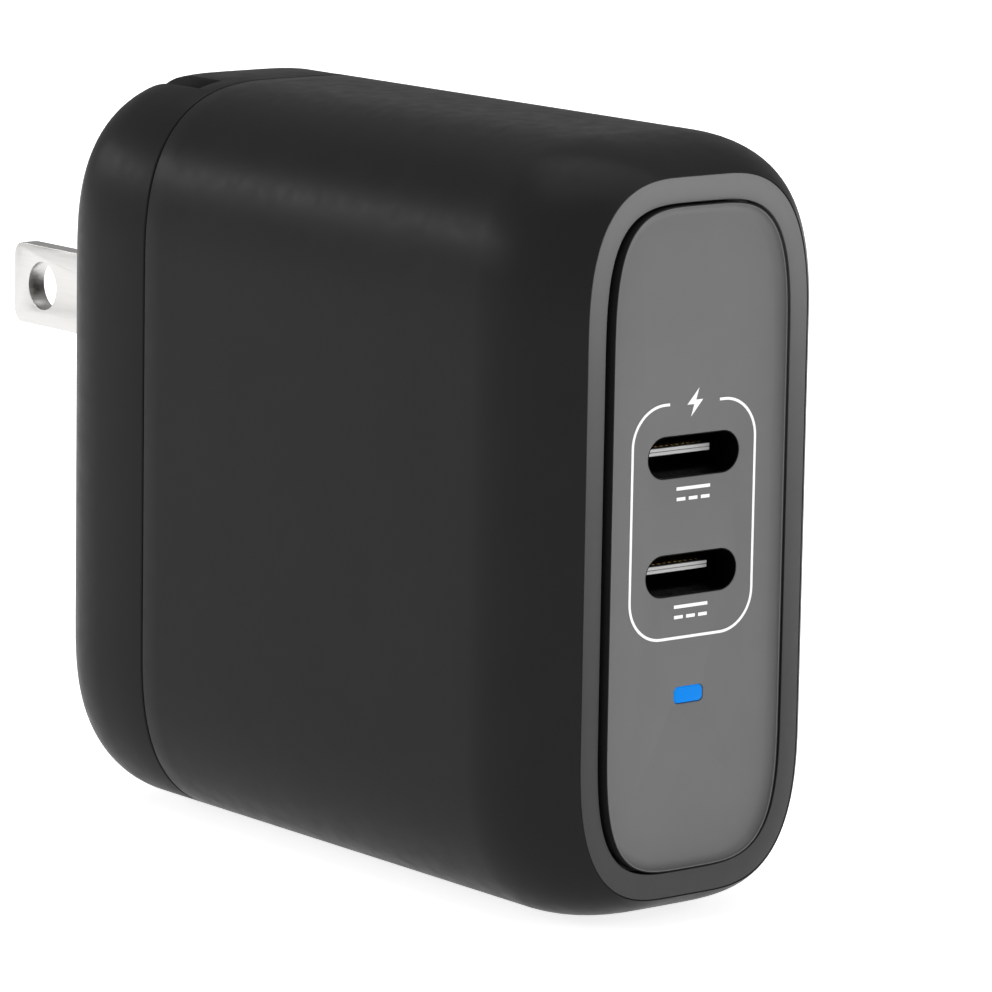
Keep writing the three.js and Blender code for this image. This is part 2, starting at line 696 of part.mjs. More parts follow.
part("heat_spreader", "aluminium", spreader());
part("thermal_pad", "thermal_pad", block([8.5, 9.8], [-33.4, -18.6], [8.4, 13.6], 0.4));
part(
  "insulation_sheet",
  "insulation_film",
  block([-11.2, -10.6], [BOARD.front + 0.5, BOARD.rear - 0.5], [-18, 18], 0.25),
);

export default assembly;
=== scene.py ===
"""Wall charger with two USB-C ports and folding prongs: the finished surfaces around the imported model."""

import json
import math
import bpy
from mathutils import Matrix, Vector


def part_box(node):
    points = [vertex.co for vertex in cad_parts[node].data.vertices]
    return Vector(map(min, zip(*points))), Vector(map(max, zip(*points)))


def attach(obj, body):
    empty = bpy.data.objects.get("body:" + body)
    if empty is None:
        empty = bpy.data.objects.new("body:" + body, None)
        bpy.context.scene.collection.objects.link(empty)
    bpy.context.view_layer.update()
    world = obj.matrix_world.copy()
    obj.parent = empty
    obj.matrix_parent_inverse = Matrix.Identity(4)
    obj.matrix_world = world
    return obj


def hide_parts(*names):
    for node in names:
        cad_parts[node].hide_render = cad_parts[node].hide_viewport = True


bl_info = {
    "name": "Wall Charger Builder",
    "version": (1, 0, 0),
    "blender": (4, 5, 0),
    "location": "View3D > Sidebar > Charger",
    "description": "Builds the case, ports, legend, prongs and studio of a USB-C wall charger",
    "category": "Add Mesh",
}

import bmesh
import bpy
from bpy.props import FloatProperty, FloatVectorProperty, IntProperty, PointerProperty
from mathutils import Euler, Matrix, Vector

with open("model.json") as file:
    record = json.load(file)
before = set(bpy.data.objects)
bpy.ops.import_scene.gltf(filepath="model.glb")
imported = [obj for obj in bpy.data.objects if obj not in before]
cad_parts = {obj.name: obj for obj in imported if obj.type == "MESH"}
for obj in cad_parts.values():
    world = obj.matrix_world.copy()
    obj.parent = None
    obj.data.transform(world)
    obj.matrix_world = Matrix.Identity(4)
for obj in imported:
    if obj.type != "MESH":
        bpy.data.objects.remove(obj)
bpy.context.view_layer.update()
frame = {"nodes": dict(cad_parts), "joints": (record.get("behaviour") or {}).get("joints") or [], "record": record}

MM = 0.001
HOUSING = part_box("main_housing")
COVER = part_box("rear_cover")
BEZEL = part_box("front_bezel")
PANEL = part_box("front_panel")
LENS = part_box("status_lens")
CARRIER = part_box("prong_carrier")
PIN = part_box("pivot_pin")
PRONGS = {side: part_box(f"prong_{side}") for side in ("left", "right")}
SHELLS = {level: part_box(f"usb_c_shell_{level}") for level in ("upper", "lower")}
INSERTS = {level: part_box(f"usb_c_insert_{level}") for level in ("upper", "lower")}
PIVOT = Vector(frame["joints"][0]["pos_m"])
SEAM_Y = HOUSING[1].y + 0.15 * MM
CAVITY_Y = -52 * MM


def length(name, text, value, low=0.0):
    """A distance property whose default is given in millimetres."""
    return FloatProperty(
        name=name, description=text, default=value * MM, min=low, unit="LENGTH", precision=5
    )


def colour(name, text, value):
    """A linear colour property."""
    return FloatVectorProperty(
        name=name, description=text, default=value, size=3, min=0, max=1, subtype="COLOR"
    )


# ---------------------------------------------------------------- settings


class ChargerCaseSettings(bpy.types.PropertyGroup):
    corner_width: length("Corner width", "How far a corner reaches across the width", 12)
    corner_height: length("Corner height", "How far a corner reaches down the height", 14)
    corner_power: FloatProperty(
        name="Corner power", description="Superellipse power of the corners", default=2.75, min=2
    )
    corner_steps: IntProperty(
        name="Corner steps", description="Points round each corner", default=28, min=6
    )
    wall: length("Wall", "Thickness of the moulded shells", 2.0)
    curve_width: length("Curve width", "Inset of the front curve across the width", 3.7)
    curve_height: length("Curve height", "Inset of the front curve down the height", 2.25)
    curve_depth: length("Curve depth", "Depth of the front curve", 8.2)
    dome_depth: length("Dome depth", "Depth of the rear cover's rounding", 5.8)
    dome_width: length("Dome width", "Inset of the rounding across the width", 2.4)
    dome_height: length("Dome height", "Inset of the rounding down the height", 3.8)
    lip_edge: length("Lip edge", "Softening of the edges that meet at the seam", 0.14)
    seam: length("Seam", "Open width of the seam between the shells", 0.12)


class ChargerPanelSettings(bpy.types.PropertyGroup):
    corner_width: length("Corner width", "Opening corner across the width", 8)
    corner_height: length("Corner height", "Opening corner down the height", 11.8)
    corner_power: FloatProperty(
        name="Corner power", description="Superellipse power of the opening", default=3.6, min=2
    )
    margin_width: length("Margin width", "Dark gap beside the panel", 0.5)
    margin_height: length("Margin height", "Dark gap above and below the panel", 0.15)
    ledge: length("Ledge", "Width of the ledge behind the panel", 1.5)
    rim: length("Rim", "Width of the panel's raised rim", 0.15)
    cove: length("Cove", "Width of the curve from the rim to the flat floor", 0.7)
    floor: length("Floor", "Depth of the flat floor behind the rim", 0.65)
    port_width: length("Port width", "Width of a port's opening in the panel", 8.45)
    port_height: length("Port height", "Height of a port's opening in the panel", 3.05)


class ChargerPlugSettings(bpy.types.PropertyGroup):
    blade_rise: length("Blade rise", "Height of the blade's middle above the pivot", 1.0)
    hole: length("Hole", "Radius of the hole near the blade's tip", 1.9)
    hole_from_tip: length("Hole from tip", "Distance of the hole from the tip", 3.9)
    slot_half: length("Slot half width", "Half the width of a blade's slot", 1.05)
    sweep: length("Sweep", "Clearance radius round the pivot", 5.0)
    scoop_depth: length("Scoop depth", "Depth of the fingernail scoop over each slot", 9.3)
    scoop_foot: length("Scoop foot", "Height where the scoop starts", 24.5)


class ChargerFinishSettings(bpy.types.PropertyGroup):
    case: colour("Case", "Matte black moulding", (0.0135, 0.0135, 0.0137))
    # The bezel's two colours are painted light: a painted highlight at the top and painted shade at the bottom.
    bezel_painted_highlight: colour("Bezel top", "Bezel colour at its top, a painted highlight", (0.149, 0.149, 0.151))
    bezel_painted_shade: colour("Bezel bottom", "Bezel colour at its bottom, a painted shade", (0.0245, 0.0245, 0.025))
    panel: colour("Panel", "Grey front panel", (0.108, 0.108, 0.108))
    ink: colour("Ink", "White legend ink", (0.82, 0.82, 0.82))
    light: colour("Status light", "Blue of the lit lens", (0.003, 0.27, 0.93))
    nickel: colour("Nickel", "Plated prongs", (0.5, 0.493, 0.482))


class ChargerStageSettings(bpy.types.PropertyGroup):
    azimuth: FloatProperty(
        name="Azimuth", description="Camera's heading from the ports", default=math.radians(38.79),
        subtype="ANGLE",
    )
    elevation: FloatProperty(
        name="Elevation", description="Camera's tilt", default=math.radians(10.2), subtype="ANGLE"
    )
    roll: FloatProperty(
        name="Roll", description="Camera's roll", default=math.radians(0.974), subtype="ANGLE"
    )
    distance: length("Distance", "Camera to the middle of the case", 444.55)
    aim_across: length("Aim across", "Middle of the case left of the view's middle", 4.3, -1)
    aim_up: length("Aim up", "Middle of the case above the view's middle", 1.37, -1)
    lens: FloatProperty(
        name="Lens", description="Focal length on a 36 mm sensor", default=216.78, min=10
    )


# ---------------------------------------------------------------- mesh helpers


def superellipse(half_width, half_height, corner_width, corner_height, power, steps):
    """A closed outline in X and Z with superellipse corners, anticlockwise from the right."""
    quarter = []
    for i in range(steps + 1):
        t = i / steps * math.pi / 2
        across = max(math.cos(t), 0) ** (2 / power)
        up = math.sin(t) ** (2 / power)
        quarter.append(
            (half_width - corner_width * (1 - across), half_height - corner_height * (1 - up))
        )
    back = quarter[::-1]
    return (
        quarter
        + [(-x, z) for x, z in back]
        + [(-x, -z) for x, z in quarter]
        + [(x, -z) for x, z in back]
    )


def case_ring(case, inset_width, y, inset_height=None):
    """The case's outline, inset, at one depth."""
    inset_height = inset_width if inset_height is None else inset_height
    half = (HOUSING[1] - HOUSING[0]) / 2
    points = superellipse(
        half.x - inset_width,
        half.z - inset_height,
        case.corner_width - inset_width,
        case.corner_height - inset_height,
        case.corner_power,
        case.corner_steps,
    )
    return [Vector((x, y, z)) for x, z in points]


def curve_ring(case, margin, y):
    """The outline where the front curve ends, inset by a margin."""
    return case_ring(case, case.curve_width + margin, y, case.curve_height + margin)


def lip_rings(case, y, direction):
    """The softened edge of a shell at the seam, from its end face to its side."""
    soft = case.lip_edge
    return [
        case_ring(case, soft * (1 - math.sin(t)), y + direction * soft * (1 - math.cos(t)))
        for t in arc(0, math.pi / 2, 3)
    ]


def opening_ring(case, panel, inset_width, y, inset_height=None):
    """The front opening's outline, inset, at one depth."""
    inset_height = inset_width if inset_height is None else inset_height
    half = (PANEL[1] - PANEL[0]) / 2
    points = superellipse(
        half.x + panel.margin_width - inset_width,
        half.z + panel.margin_height - inset_height,
        panel.corner_width - inset_width,
        panel.corner_height - inset_height,
        panel.corner_power,
        case.corner_steps,
    )
    return [Vector((x, y, z)) for x, z in points]


def panel_ring(case, panel, inset, y):
    """The panel's outline, inset, at one depth."""
    return opening_ring(
        case, panel, panel.margin_width + inset, y, panel.margin_height + inset
    )


def stadium(width, height, z, steps=16):
    """A slot outline with round ends, in X and Z."""
    radius = height / 2
    reach = width / 2 - radius
    points = []
    for side in (1, -1):
        for i in range(steps + 1):
            t = -math.pi / 2 + i / steps * math.pi
            points.append((side * (reach + radius * math.cos(t)), z + side * radius * math.sin(t)))
    return points


def rounded_rectangle(half_a, half_b, radius, centre=(0.0, 0.0), steps=8):
    """A rectangle with round corners, in any two axes."""
    points = []
    for quadrant, (a, b) in enumerate(((1, 1), (-1, 1), (-1, -1), (1, -1))):
        for i in range(steps + 1):
            t = (quadrant + i / steps) * math.pi / 2
            points.append((
                centre[0] + a * (half_a - radius) + radius * math.cos(t),
                centre[1] + b * (half_b - radius) + radius * math.sin(t),
            ))
    return points


def circle(radius, centre=(0.0, 0.0), steps=64):
    return [
        (centre[0] + radius * math.cos(t), centre[1] + radius * math.sin(t))
        for t in (i / steps * math.tau for i in range(steps))
    ]


def arc(start, end, steps):
    return [start + (end - start) * i / steps for i in range(steps + 1)]


def skin(name, rings, closed=False):
    """A solid through rings of equal point count. It closes on itself or is capped at both ends."""
    mesh = bpy.data.meshes.new(name)
    work = bmesh.new()
    rows = [[work.verts.new(point) for point in ring] for ring in rings]
    count = len(rows[0])
    pairs = list(zip(rows, rows[1:]))
    if closed:
        pairs.append((rows[-1], rows[0]))
    for low, high in pairs:
        for i in range(count):
            j = (i + 1) % count
            work.faces.new((low[i], low[j], high[j], high[i]))
    if not closed:
        work.faces.new(rows[0][::-1])
        work.faces.new(rows[-1])
    bmesh.ops.remove_doubles(work, verts=work.verts, dist=1e-7)
    bmesh.ops.recalc_face_normals(work, faces=work.faces)
    work.to_mesh(mesh)
    work.free()
    return linked(name, mesh)


def linked(name, mesh):
    piece = bpy.data.objects.new(name, mesh)
    bpy.context.scene.collection.objects.link(piece)
    return piece


def prism(name, outline, low, high, axis="y"):
    """A straight solid between two planes across an axis."""
    def place(a, b, along):
        return Vector((along, a, b)) if axis == "x" else Vector((a, along, b))

    return skin(name, [[place(a, b, along) for a, b in outline] for along in (low, high)])


def turned(name, profile, centre, steps=64):
    """A solid turned about X from (radius, distance along) points that start and end on the axis."""
    rings = []
    for radius, along in profile:
        ring = []
        for i in range(steps):
            t = i / steps * math.tau
            offset = (along, radius * math.cos(t), radius * math.sin(t))
            ring.append(Vector(centre) + Vector(offset))
        rings.append(ring)
    return skin(name, rings)


def boolean(piece, tool, operation="DIFFERENCE"):
    """Joins or cuts with another solid, which is used up."""
    change = piece.modifiers.new("join", "BOOLEAN")
    change.operation = operation
    change.solver = "EXACT"
    change.object = tool
    baked(piece)
    bpy.data.objects.remove(tool)
    return piece


def bevelled(piece, width, segments, angle):
    """Softens the edges that turn by more than an angle."""
    change = piece.modifiers.new("edges", "BEVEL")
    change.width = width
    change.segments = segments
    change.limit_method = "ANGLE"
    change.angle_limit = math.radians(angle)
    change.use_clamp_overlap = True
    return baked(piece)


def baked(piece):
    graph = bpy.context.evaluated_depsgraph_get()
    mesh = bpy.data.meshes.new_from_object(piece.evaluated_get(graph))
    piece.modifiers.clear()
    piece.data = mesh
    return piece


def smoothed(piece, angle=32):
    """Smooth shading, with a crease where faces turn by more than an angle."""
    piece.data.polygons.foreach_set("use_smooth", [True] * len(piece.data.polygons))
    piece.data.set_sharp_from_angle(angle=math.radians(angle))
    return piece


def dressed(piece, body, slot, material, *nodes):
    """Gives a piece its material and its body, and hides the nodes it stands for. The slot is not used."""
    piece.data.materials.clear()
    piece.data.materials.append(material)
    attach(piece, body)
    if nodes:
        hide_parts(*nodes)
    return piece


# ---------------------------------------------------------------- materials


class Nodes:
    """A material's node tree, with short ways to add what the finishes share."""

    def __init__(self, name):
        old = bpy.data.materials.get(name)
        if old:
            bpy.data.materials.remove(old)
        self.material = bpy.data.materials.new(name)
        self.material.use_nodes = True
        self.tree = self.material.node_tree
        self.shader = self.tree.nodes["Principled BSDF"]
        self.place = self.add("ShaderNodeTexCoord").outputs["Object"]

    def add(self, kind, **inputs):
        node = self.tree.nodes.new(kind)
        for key, value in inputs.items():
            node.inputs[key.replace("_", " ")].default_value = value
        return node

    def link(self, output, target):
        self.tree.links.new(output, target)

    def noise(self, size, detail=3.0, stretch=None):
        """Noise whose features are about one size across."""
        node = self.add("ShaderNodeTexNoise", Scale=1 / size, Detail=detail)
        if stretch:
            mapping = self.add("ShaderNodeMapping", Scale=stretch)
            self.link(self.place, mapping.inputs["Vector"])
            self.link(mapping.outputs["Vector"], node.inputs["Vector"])
        else:
            self.link(self.place, node.inputs["Vector"])
        return node.outputs["Fac"]

    def ramp(self, value, stops):
        """A colour ramp through (position, colour) stops."""
        node = self.add("ShaderNodeValToRGB")
        self.link(value, node.inputs["Fac"])
        points = node.color_ramp.elements
        while len(points) < len(stops):
            points.new(0.5)
        for point, (position, shade) in zip(points, stops):
            point.position = position
            point.color = (*shade, 1)
        return node.outputs["Color"]

    def remap(self, value, low, high, from_low=0.3, from_high=0.7):
        node = self.add(
            "ShaderNodeMapRange",
            From_Min=from_low, From_Max=from_high, To_Min=low, To_Max=high,
        )
        self.link(value, node.inputs["Value"])
        return node.outputs["Result"]

    def bump(self, height, strength, depth):
        node = self.add("ShaderNodeBump", Strength=strength, Distance=depth)
        self.link(height, node.inputs["Height"])
        self.link(node.outputs["Normal"], self.shader.inputs["Normal"])

    def tint(self, base, spread, value):
        """Base colour that drifts a little to each side with a value."""
        dark = [c * (1 - spread) for c in base]
        pale = [min(c * (1 + spread), 1) for c in base]
        self.link(self.ramp(value, ((0.3, dark), (0.7, pale))), self.shader.inputs["Base Color"])

    def set(self, **values):
        for key, value in values.items():
            self.shader.inputs[key.replace("_", " ")].default_value = value


def moulded(name, base, roughness=0.5, grain=0.12, relief=0.006, spread=0.05, specular=0.5):
    """Moulded plastic: a fine grain, a faint drift of colour and of sheen."""
    finish = Nodes(name)
    finish.tint(base, spread, finish.noise(6 * MM, 2))
    rough = finish.remap(finish.noise(1.4 * MM), roughness - 0.04, roughness + 0.04)
    finish.link(rough, finish.shader.inputs["Roughness"])
    finish.bump(finish.noise(grain * MM, 2), 0.35, relief * MM)
    finish.set(Specular_IOR_Level=specular)
    return finish.material


def metal(name, base, roughness=0.3, stretch=(1, 0.06, 1), spread=0.06, streak=0.35, relief=0.004):
    """Rolled or plated metal: streaks along one axis."""
    finish = Nodes(name)
    streaks = finish.noise(streak * MM, 3, stretch)
    finish.tint(base, spread, streaks)
    rough = finish.remap(streaks, roughness - 0.06, roughness + 0.08)
    finish.link(rough, finish.shader.inputs["Roughness"])
    finish.bump(streaks, 0.3, relief * MM)
    finish.set(Metallic=1.0)
    return finish.material


# Painted light: how the bezel's colour runs with height from the painted shade at the bottom to the painted
# highlight at the top.
BEZEL_PAINTED_LIGHT_FADE = ((0, 0.0), (0.3, 0.02), (0.55, 0.15), (0.72, 0.36), (0.86, 0.66), (1, 1.0))


def bezel_with_painted_light(finishes):
    """Satin grey paint with painted light: paler towards the top edge and darker towards the bottom, standing in
    for light from above.
    """
    finish = Nodes("bezel_paint_painted_light")
    split = finish.add("ShaderNodeSeparateXYZ")
    finish.link(finish.place, split.inputs["Vector"])
    half = (HOUSING[1].z - HOUSING[0].z) / 2
    height = finish.remap(split.outputs["Z"], 0, 1, -half, half)
    low, top = Vector(finishes.bezel_painted_shade), Vector(finishes.bezel_painted_highlight)
    stops = [(at, low.lerp(top, amount)) for at, amount in BEZEL_PAINTED_LIGHT_FADE]
    finish.link(finish.ramp(height, stops), finish.shader.inputs["Base Color"])
    rough = finish.remap(finish.noise(0.8 * MM), 0.42, 0.5)
    finish.link(rough, finish.shader.inputs["Roughness"])
    finish.bump(finish.noise(0.09 * MM, 2), 0.3, 0.003 * MM)
    finish.set(Specular_IOR_Level=0.3)
    return finish.material


def lit_lens(finishes):
    """Tinted lens with an even glow of the lamp's blue."""
    finish = Nodes("lit_blue_lens")
    blue = tuple(finishes.light)
    finish.tint([0.1 * level for level in blue], 0.04, finish.noise(0.5 * MM))
    finish.link(finish.remap(finish.noise(0.4 * MM), 0.3, 0.4), finish.shader.inputs["Roughness"])
    finish.set(Emission_Color=(*blue, 1), Emission_Strength=0.8, Specular_IOR_Level=0.05)
    return finish.material


def case_plastic(finishes):
    """The matte black of both shells, made once."""
    material = bpy.data.materials.get("matte_black_case")
    if material:
        return material
    return moulded(
        "matte_black_case", tuple(finishes.case), roughness=0.36, grain=0.16, relief=0.004,
        spread=0.03, specular=0.04,
    )


# ---------------------------------------------------------------- operators


class ChargerOperator:
    """What the operators share: their settings and the undo flag."""

    bl_options = {"REGISTER", "UNDO"}

    @property
    def case(self):
        return bpy.context.scene.charger_case

    @property
    def panel(self):
        return bpy.context.scene.charger_panel

    @property
    def plug(self):
        return bpy.context.scene.charger_plug

    @property
    def finishes(self):
        return bpy.context.scene.charger_finishes


class CHARGER_OT_housing(ChargerOperator, bpy.types.Operator):
    """Build the main housing, a sleeve that curves in towards the front"""

    bl_idname = "charger.housing"
    bl_label = "Main Housing"

    def execute(self, context):
        case = self.case
        face = BEZEL[0].y
        rear = SEAM_Y - case.seam / 2
        rebate, edge = 0.05 * MM, 0.03 * MM
        straight_rear, straight_front = rear - 2 * MM, face + 10 * MM
        rings = lip_rings(case, rear, -1)
        rings += [case_ring(case, 0, y) for y in arc(straight_rear, straight_front, 6)]
        end = 2 * math.atan(case.curve_width / case.curve_depth)
        for t in arc(0, end, 26):
            amount = (1 - math.cos(t)) / (1 - math.cos(end))
            rings.append(case_ring(
                case,
                case.curve_width * amount,
                face + case.curve_depth * (1 - math.sin(t) / math.sin(end)),
                case.curve_height * amount,
            ))
        rings += [
            curve_ring(case, rebate, face + edge),
            curve_ring(case, rebate, CAVITY_Y),
            case_ring(case, case.wall, CAVITY_Y + 0.2 * MM),
            case_ring(case, case.wall, rear),
        ]
        piece = smoothed(skin("housing_shell", rings, closed=True))
        dressed(piece, "case", "matte_black_housing", case_plastic(self.finishes), "main_housing")
        return {"FINISHED"}


class CHARGER_OT_rear_cover(ChargerOperator, bpy.types.Operator):
    """Build the rounded rear cover with its pivot well and the slots the prongs fold into"""

    bl_idname = "charger.rear_cover"
    bl_label = "Rear Cover"

    def dome(self, inset, wall):
        """The rounding's rings, from the side to the rear, inset and sunk by a wall."""
        case = self.case
        return [
            case_ring(
                case,
                inset + (case.dome_width - inset) * (1 - math.cos(t)),
                -wall - case.dome_depth * (1 - math.sin(t)),
                inset + (case.dome_height - inset) * (1 - math.cos(t)),
            )
            for t in arc(0, math.pi / 2, 18)
        ]

    def filler(self, outline, front, rear, rim):
        """A block behind the wall, kept inside the cover."""
        case, skin_depth = self.case, 1.2 * MM
        block = prism("tool", outline, front, rear)
        start = case_ring(case, skin_depth, rim + 0.5 * MM)
        limit = skin("tool", [start] + self.dome(skin_depth, skin_depth))
        return boolean(block, limit, "INTERSECT")

    def tools(self):
        """The pivot well and its mouth, then a sweep and a slot for each prong."""
        plug = self.plug
        gap, floor_gap, overshoot = 0.2 * MM, 0.3 * MM, 2 * MM
        below, ramp, mouth = 2.65 * MM, 0.8 * MM, 3 * MM
        radius = (CARRIER[1].z - CARRIER[0].z) / 2 + gap
        well = CARRIER[1].x + gap
        y, z = PIVOT.y, PIVOT.z
        yield turned(
            "tool", ((0, -well), (radius, -well), (radius, well), (0, well)), (0, y, z)
        )
        yield prism(
            "tool", rounded_rectangle(mouth, radius, 0.01 * MM, (y + mouth, z), 1), -well, well, "x"
        )
        rise = plug.blade_rise + (PRONGS["left"][1].z - PRONGS["left"][0].z) / 2
        for low, high in PRONGS.values():
            x = (low.x + high.x) / 2
            left, right = x - plug.slot_half, x + plug.slot_half
            sweep = [
                (y + plug.sweep * math.cos(t), z + plug.sweep * math.sin(t))
                for t in arc(math.radians(76), math.radians(284), 40)
            ]
            yield prism("tool", sweep, left, right, "x")
            floor = y - rise - floor_gap
            top = HOUSING[1].z + overshoot
            foot = z - below
            scoop = -plug.scoop_depth
            slot = [
                (floor, z), (floor, plug.scoop_foot), (scoop, plug.scoop_foot + ramp),
                (scoop, top), (overshoot, top), (overshoot, foot), (y, foot),
            ]
            yield prism("tool", slot, left, right, "x")

    def execute(self, context):
        case = self.case
        rim = SEAM_Y + case.seam / 2
        lip_front = COVER[0].y
        lip_inside, lip_outside = case.wall + 1.15 * MM, case.wall + 0.15 * MM
        rings = self.dome(case.wall, case.wall)[::-1]
        rings += [
            case_ring(case, case.wall, rim + 1.4 * MM),
            case_ring(case, lip_inside, rim + 1.3 * MM),
            case_ring(case, lip_inside, lip_front),
            case_ring(case, lip_outside, lip_front),
            case_ring(case, lip_outside, rim),
        ]
        rings += lip_rings(case, rim, 1)
        rings += self.dome(0, 0)
        piece = skin("rear_cover_shell", rings)
        bay = rounded_rectangle(11.2 * MM, 12 * MM, 0.5 * MM, (0, 15 * MM), 2)
        boolean(piece, self.filler(bay, -9.6 * MM, -1.5 * MM, rim), "UNION")
        crown = rounded_rectangle(10 * MM, 3 * MM, 0.3 * MM, (0, 24 * MM), 2)
        boolean(piece, self.filler(crown, SEAM_Y + 0.8 * MM, -9 * MM, rim), "UNION")
        for tool in self.tools():
            boolean(piece, tool)
        smoothed(piece)
        dressed(piece, "case", "matte_black_housing", case_plastic(self.finishes), "rear_cover")
        return {"FINISHED"}


class CHARGER_OT_bezel(ChargerOperator, bpy.types.Operator):
    """Build the flat bezel ring round the front opening"""

    bl_idname = "charger.bezel"
    bl_label = "Front Bezel"

    def execute(self, context):
        case, panel = self.case, self.panel
        face = BEZEL[0].y
        edge, inner_edge, outside = 0.1 * MM, 0.06 * MM, 0.07 * MM
        skirt_outside, skirt_inside = outside + 0.08 * MM, outside + 1.08 * MM
        ledge_front, ledge_rear = face + 1.3 * MM, face + 2.2 * MM
        rings = [
            curve_ring(case, skirt_inside, BEZEL[1].y),
            curve_ring(case, skirt_outside, BEZEL[1].y),
            curve_ring(case, skirt_outside, face + 2 * MM),
        ]
        rings += [
            curve_ring(case, outside + edge * (1 - math.cos(t)) * 0.6, face + edge * (1 - math.sin(t)))
            for t in arc(0, math.pi / 2, 3)
        ]
        rings += [
            opening_ring(
                case, panel, -inner_edge * (1 - math.sin(t)), face + inner_edge * (1 - math.cos(t))
            )
            for t in arc(0, math.pi / 2, 3)
        ]
        rings += [
            opening_ring(case, panel, 0, ledge_front),
            opening_ring(case, panel, panel.ledge, ledge_front),
            opening_ring(case, panel, panel.ledge, ledge_rear),
            curve_ring(case, skirt_inside, ledge_rear),
        ]
        piece = smoothed(skin("bezel_ring", rings, closed=True))
        dressed(piece, "case", "satin_grey_bezel", bezel_with_painted_light(self.finishes), "front_bezel")
        return {"FINISHED"}


class CHARGER_OT_panel(ChargerOperator, bpy.types.Operator):
    """Build the dished front panel with its openings, and the black carrier round its edge"""

    bl_idname = "charger.panel"
    bl_label = "Front Panel"

    def execute(self, context):
        case, panel = self.case, self.panel
        low, high = PANEL
        skirt, soft, overlap = 0.06 * MM, 0.03 * MM, 0.005 * MM
        lens_gap, lens_corner, overshoot = 0.04 * MM, 0.38 * MM, 1 * MM
        rings = [
            panel_ring(case, panel, skirt, high.y),
            panel_ring(case, panel, skirt, low.y + soft),
            panel_ring(case, panel, skirt + soft, low.y),
        ]
        rings += [
            panel_ring(
                case, panel,
                panel.rim + panel.cove * (1 - math.cos(t)),
                low.y + panel.floor * math.sin(t),
            )
            for t in arc(0, math.pi / 2, 12)
        ]
        piece = skin("panel_face", rings)
        carrier = skin("panel_carrier", [
            panel_ring(case, panel, skirt - overlap, high.y),
            panel_ring(case, panel, 0, high.y),
            panel_ring(case, panel, 0, low.y + 0.02 * MM),
            panel_ring(case, panel, skirt - overlap, low.y + 0.01 * MM),
        ], closed=True)
        dressed(smoothed(carrier), "case", None, case_plastic(self.finishes))
        lens_centre = (LENS[0] + LENS[1]) / 2
        lens_half = (LENS[1] - LENS[0]) / 2
        cuts = [
            stadium(panel.port_width, panel.port_height, (shell[0].z + shell[1].z) / 2)
            for shell in SHELLS.values()
        ]
        cuts.append(rounded_rectangle(
            lens_half.x + lens_gap, lens_half.z + lens_gap, lens_corner, (0, lens_centre.z)
        ))
        for outline in cuts:
            boolean(piece, prism("tool", outline, low.y - overshoot, high.y + overshoot))
        bevelled(piece, 0.09 * MM, 3, 50)
        smoothed(piece)
        material = moulded(
            "grey_panel_plastic", tuple(self.finishes.panel), roughness=0.5, grain=0.1,
            relief=0.003, spread=0.02, specular=0.3,
        )
        dressed(piece, "case", "grey_panel", material, "front_panel")
        return {"FINISHED"}


class CHARGER_OT_legend(ChargerOperator, bpy.types.Operator):
    """Print the white frame line, the spark and the direct-current marks"""

    bl_idname = "charger.legend"
    bl_label = "Legend"

    line: length("Line", "Width of the printed lines", 0.2)
    thick: length("Ink", "Thickness of the ink", 0.02)

    @property
    def face(self):
        return PANEL[0].y + self.panel.floor

    def ribbon(self, name, points, width):
        """A flat printed line through points in X and Z."""
        left, right = [], []
        for i, (x, z) in enumerate(points):
            before = Vector(points[max(i - 1, 0)])
            after = Vector(points[min(i + 1, len(points) - 1)])
            along = (after - before).normalized()
            across = Vector((-along.y, along.x)) * width / 2
            left.append((x + across.x, z + across.y))
            right.append((x - across.x, z - across.y))
        return self.film(name, left + right[::-1])

    def film(self, name, outline):
        """An outline in X and Z, printed on the panel's floor."""
        return prism(name, outline, self.face - self.thick, self.face + 0.01 * MM)

    def printed(self, piece, material):
        dressed(piece, "case", None, material)

    def execute(self, context):
        ink = moulded(
            "white_legend_ink", tuple(self.finishes.ink), roughness=0.55, grain=0.06,
            relief=0.002, spread=0.03, specular=0.3,
        )
        half, top, bottom, radius = 5.66 * MM, 9.74 * MM, -7.07 * MM, 2.9 * MM
        left_gap, right_gap = -2.33 * MM, 2.29 * MM
        drop, half_bar, stroke, dash_drop = 2.3 * MM, 1.55 * MM, 0.24 * MM, 0.75 * MM
        line = [(left_gap, top)]
        for cx, cz, start in (
            (-half + radius, top - radius, 90),
            (-half + radius, bottom + radius, 180),
            (half - radius, bottom + radius, 270),
            (half - radius, top - radius, 360),
        ):
            line += [
                (cx + radius * math.cos(math.radians(t)), cz + radius * math.sin(math.radians(t)))
                for t in arc(start, start + 90, 14)
            ]
        line.append((right_gap, top))
        self.printed(self.ribbon("legend_frame", line, self.line), ink)

        spark = [
            (0.35, 1.0), (-0.72, -0.14), (-0.08, -0.14), (-0.35, -1.0), (0.72, 0.16), (0.08, 0.16),
        ]
        spark = [(x * MM, top + z * MM) for x, z in spark]
        self.printed(self.film("legend_spark", spark), ink)

        for level, shell in SHELLS.items():
            z = (shell[0].z + shell[1].z) / 2 - drop
            bar = [(-half_bar, z), (half_bar, z)]
            self.printed(self.ribbon(f"legend_dc_line_{level}", bar, stroke), ink)
            for i, x in enumerate((-1.12, 0.0, 1.12)):
                dash = [((x - 0.4) * MM, z - dash_drop), ((x + 0.4) * MM, z - dash_drop)]
                self.printed(self.ribbon(f"legend_dc_dash_{level}_{i + 1}", dash, stroke), ink)
        return {"FINISHED"}


